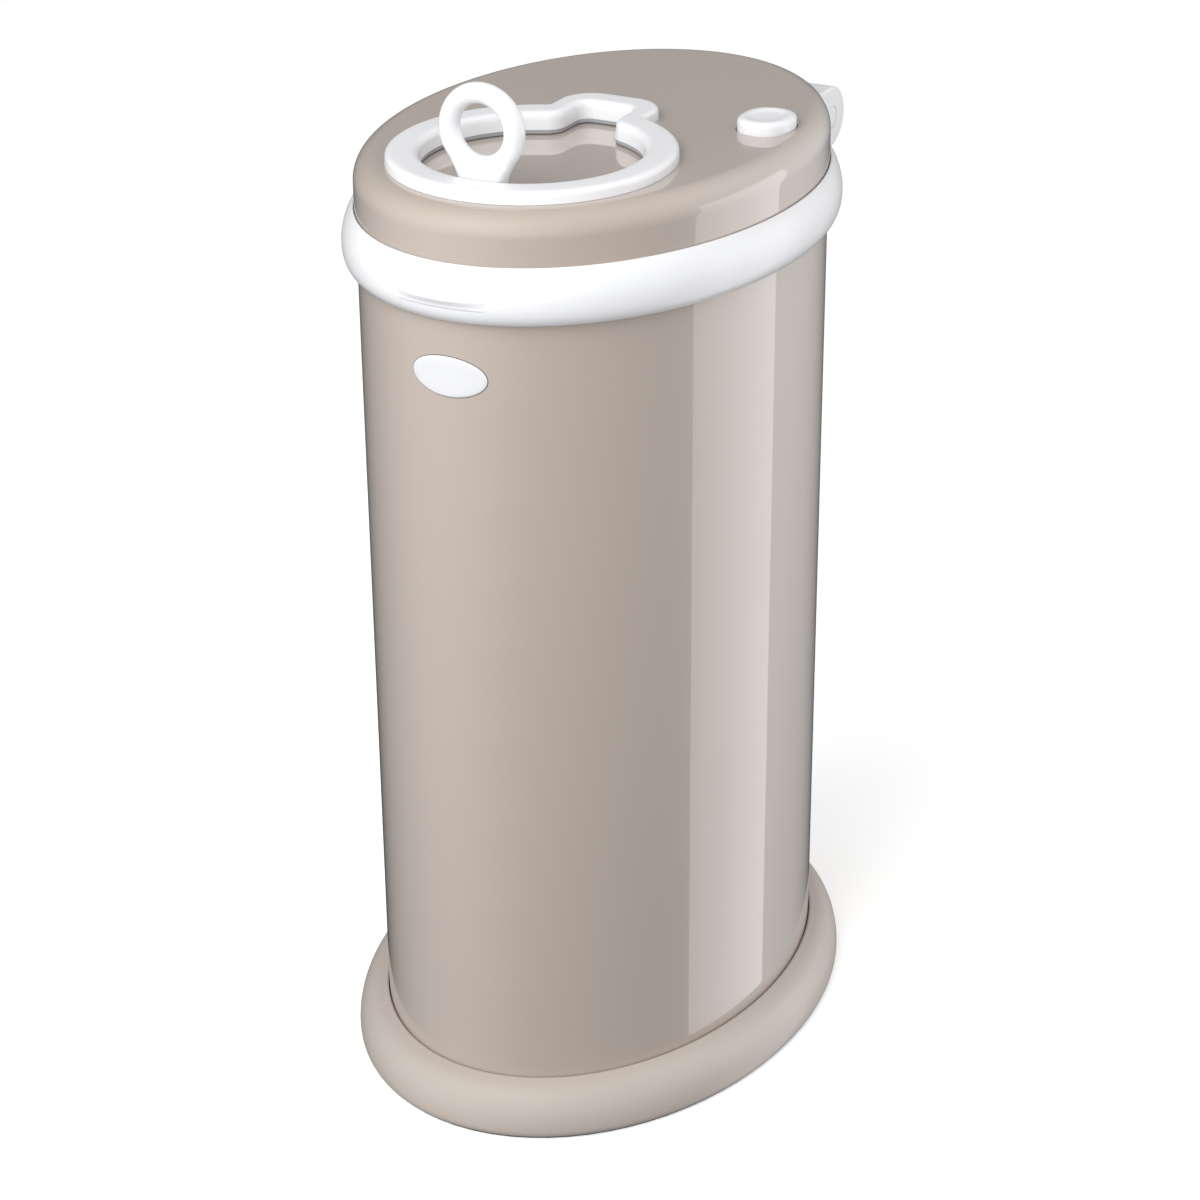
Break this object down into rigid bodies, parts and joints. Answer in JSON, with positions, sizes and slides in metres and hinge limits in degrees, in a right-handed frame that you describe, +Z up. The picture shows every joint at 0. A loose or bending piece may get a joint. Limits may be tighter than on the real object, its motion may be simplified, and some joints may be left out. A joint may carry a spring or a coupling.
{
  "type": "nappy bin",
  "caption": "Oval steel nappy bin on a moulded base, with a hinged lid, a sliding shutter worked by a ring handle, and a sprung lock button.",
  "frame": {"origin": "on the floor, under the middle of the oval body", "axes": "+Z up, -Y towards the front with the finger lip, +X to the right seen from the front"},
  "size_m": [0.2708, 0.3748, 0.597],
  "materials": {
    "paint": "gloss",
    "base": "satin",
    "white": "gloss",
    "grey": "matt",
    "grey_plastic": "satin",
    "steel": "satin"
  },
  "bodies": {
    "bin": {"base_ring": "base", "base_floor": "base", "foot_ring": "grey", "base_screws": "steel", "body_shell": "paint", "label_plate": "white", "top_collar": "white", "bag_ring": "white", "hinge_bracket": "white", "hinge_screws": "steel", "hinge_pin": "steel"},
    "lid": {"lid_band": "white", "lid_cap": "paint", "left_hinge_arm": "white", "right_hinge_arm": "white", "left_pin_cap": "white", "right_pin_cap": "white", "lid_seal": "grey", "lid_underside": "white", "lid_screws": "steel", "aperture_rim": "white", "aperture_gasket": "grey", "left_slide_rail": "white", "right_slide_rail": "white", "button_guide": "white"},
    "shutter": {"slide_skin": "paint", "slide_carrier": "white", "ring_handle": "white", "handle_screws": "steel"},
    "button": {"lock_button": "white", "lock_plunger": "grey_plastic", "button_spring": "steel"}
  },
  "joints": [
    {"name": "lid_hinge", "type": "hinge", "parent": "bin", "child": "lid", "pos_m": [0, 0.1755, 0.509], "axis": [-1, 0, 0], "range_deg": [0, 95]},
    {"name": "shutter_slide", "type": "slide", "parent": "lid", "child": "shutter", "axis": [0, 1, 0], "range_m": [0, 0.125]},
    {"name": "button_press", "type": "slide", "parent": "lid", "child": "button", "axis": [0, 0, -1], "range_m": [0, 0.003], "stiffness_N_per_m": 1500, "springref_m": -0.003, "deforming": ["button_spring"]}
  ]
}
